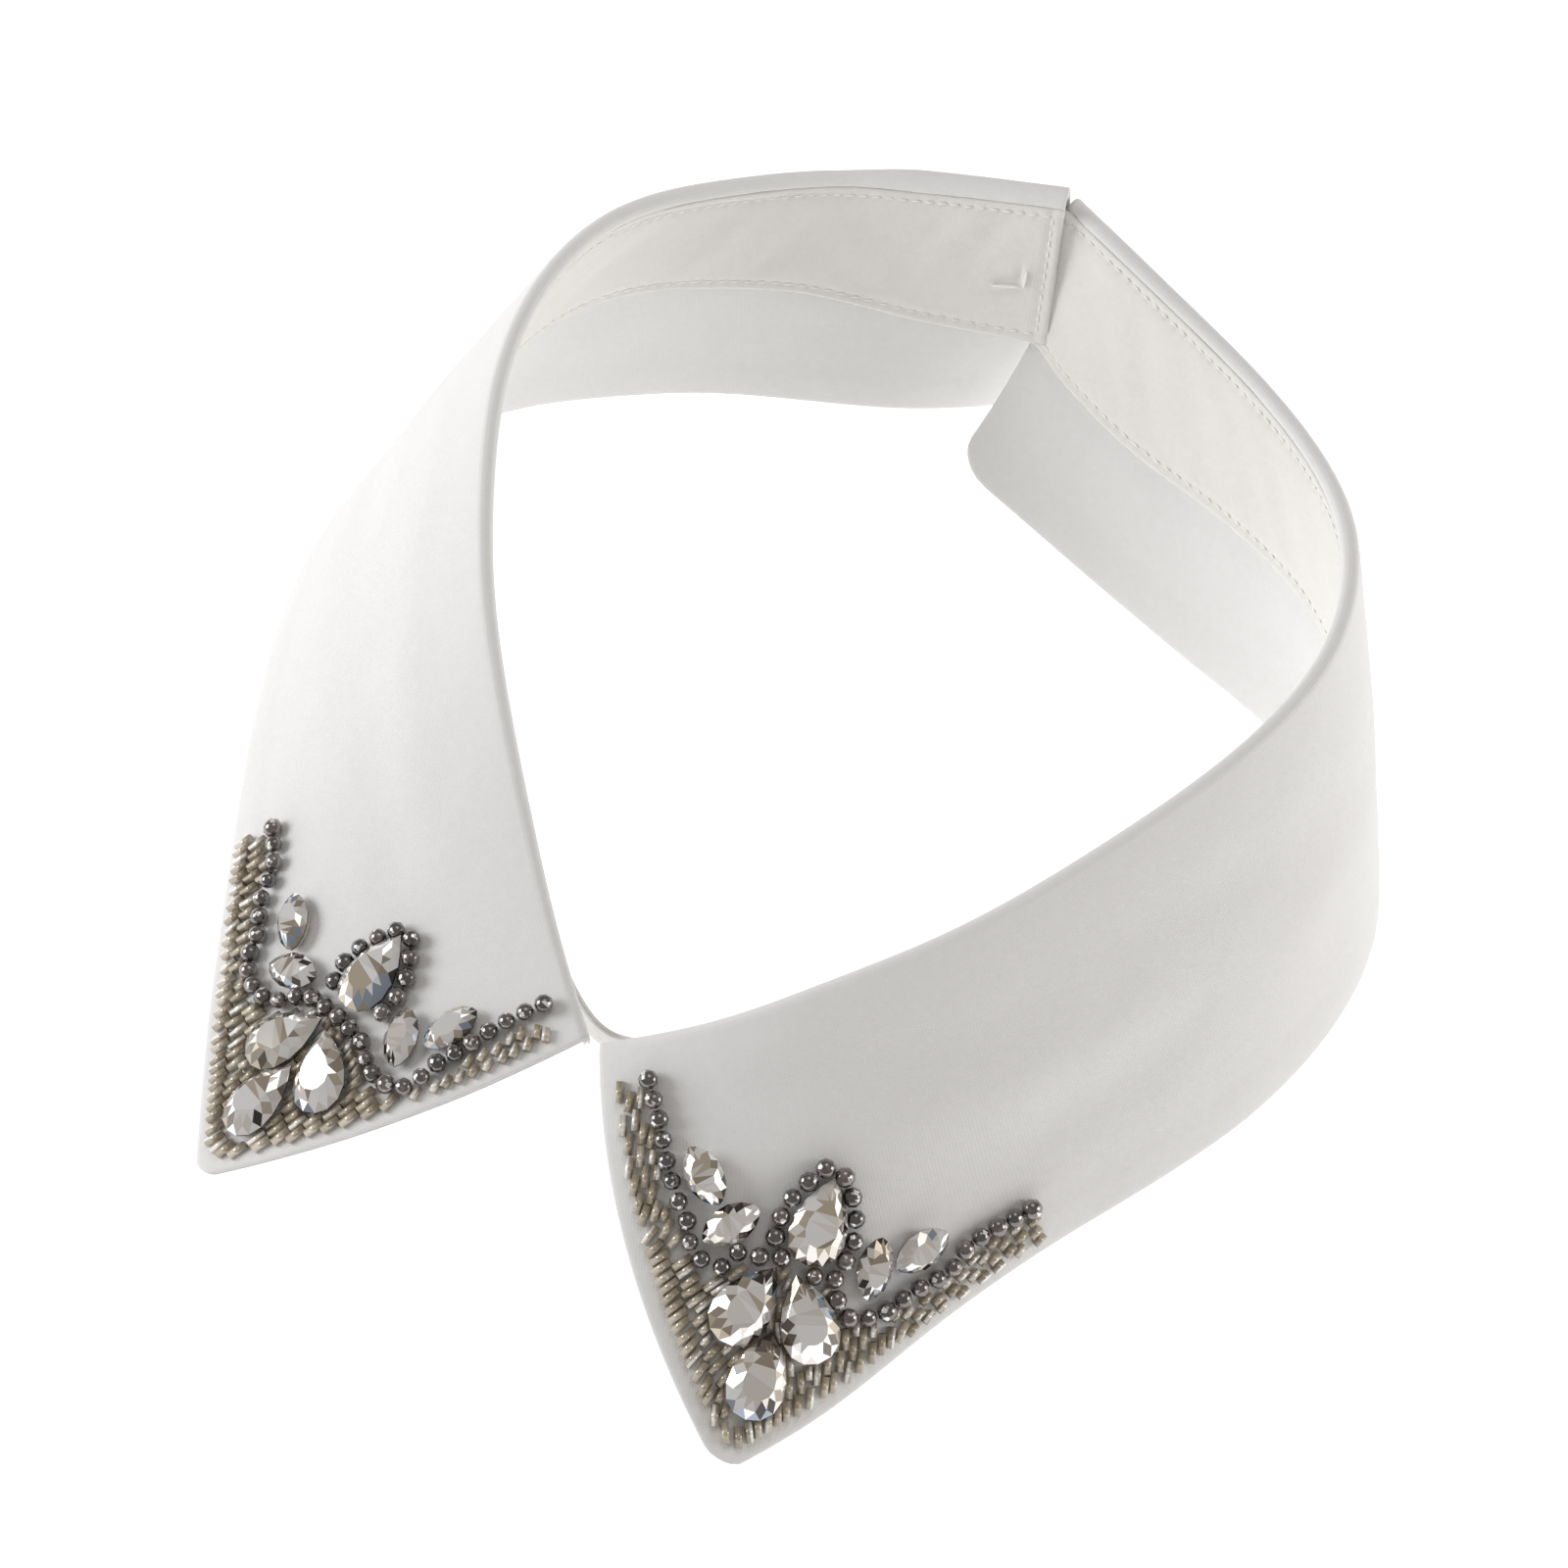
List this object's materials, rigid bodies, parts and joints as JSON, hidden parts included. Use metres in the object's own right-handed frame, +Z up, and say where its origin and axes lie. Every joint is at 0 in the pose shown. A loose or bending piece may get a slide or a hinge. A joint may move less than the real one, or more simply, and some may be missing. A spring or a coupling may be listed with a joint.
{
  "type": "detachable shirt collar",
  "caption": "Detachable pointed shirt collar with a low stand, buttoned at the back of the neck, with crystal stones sewn on both points.",
  "frame": {"origin": "middle of the bottom of the collar's bounding box, on the surface that it stands on", "axes": "+Z up; the two points face -Y, and the buttoned back of the neck is at +Y; the wearer's right leaf, which is left in the picture, is at -X"},
  "size_m": [0.1674, 0.1814, 0.0459],
  "materials": {
    "leaf_cotton": "fine plain-woven white cotton, matt",
    "stand_cotton": "fine plain-woven white cotton, matt, topstitched",
    "button_resin": "off-white, gloss",
    "stone_crystal": "cut clear crystal with a foil back, opaque from the front"
  },
  "bodies": {
    "root": {"leaf_left": "leaf_cotton", "leaf_right": "leaf_cotton", "stand": "stand_cotton", "back_button": "button_resin", "pear_top_left": "stone_crystal", "pear_front_left": "stone_crystal", "pear_edge_left": "stone_crystal", "pear_point_left": "stone_crystal", "navette_front_high_left": "stone_crystal", "navette_front_low_left": "stone_crystal", "navette_edge_low_left": "stone_crystal", "navette_edge_high_left": "stone_crystal", "pear_top_right": "stone_crystal", "pear_front_right": "stone_crystal", "pear_edge_right": "stone_crystal", "pear_point_right": "stone_crystal", "navette_front_high_right": "stone_crystal", "navette_front_low_right": "stone_crystal", "navette_edge_low_right": "stone_crystal", "navette_edge_high_right": "stone_crystal"}
  },
  "joints": []
}
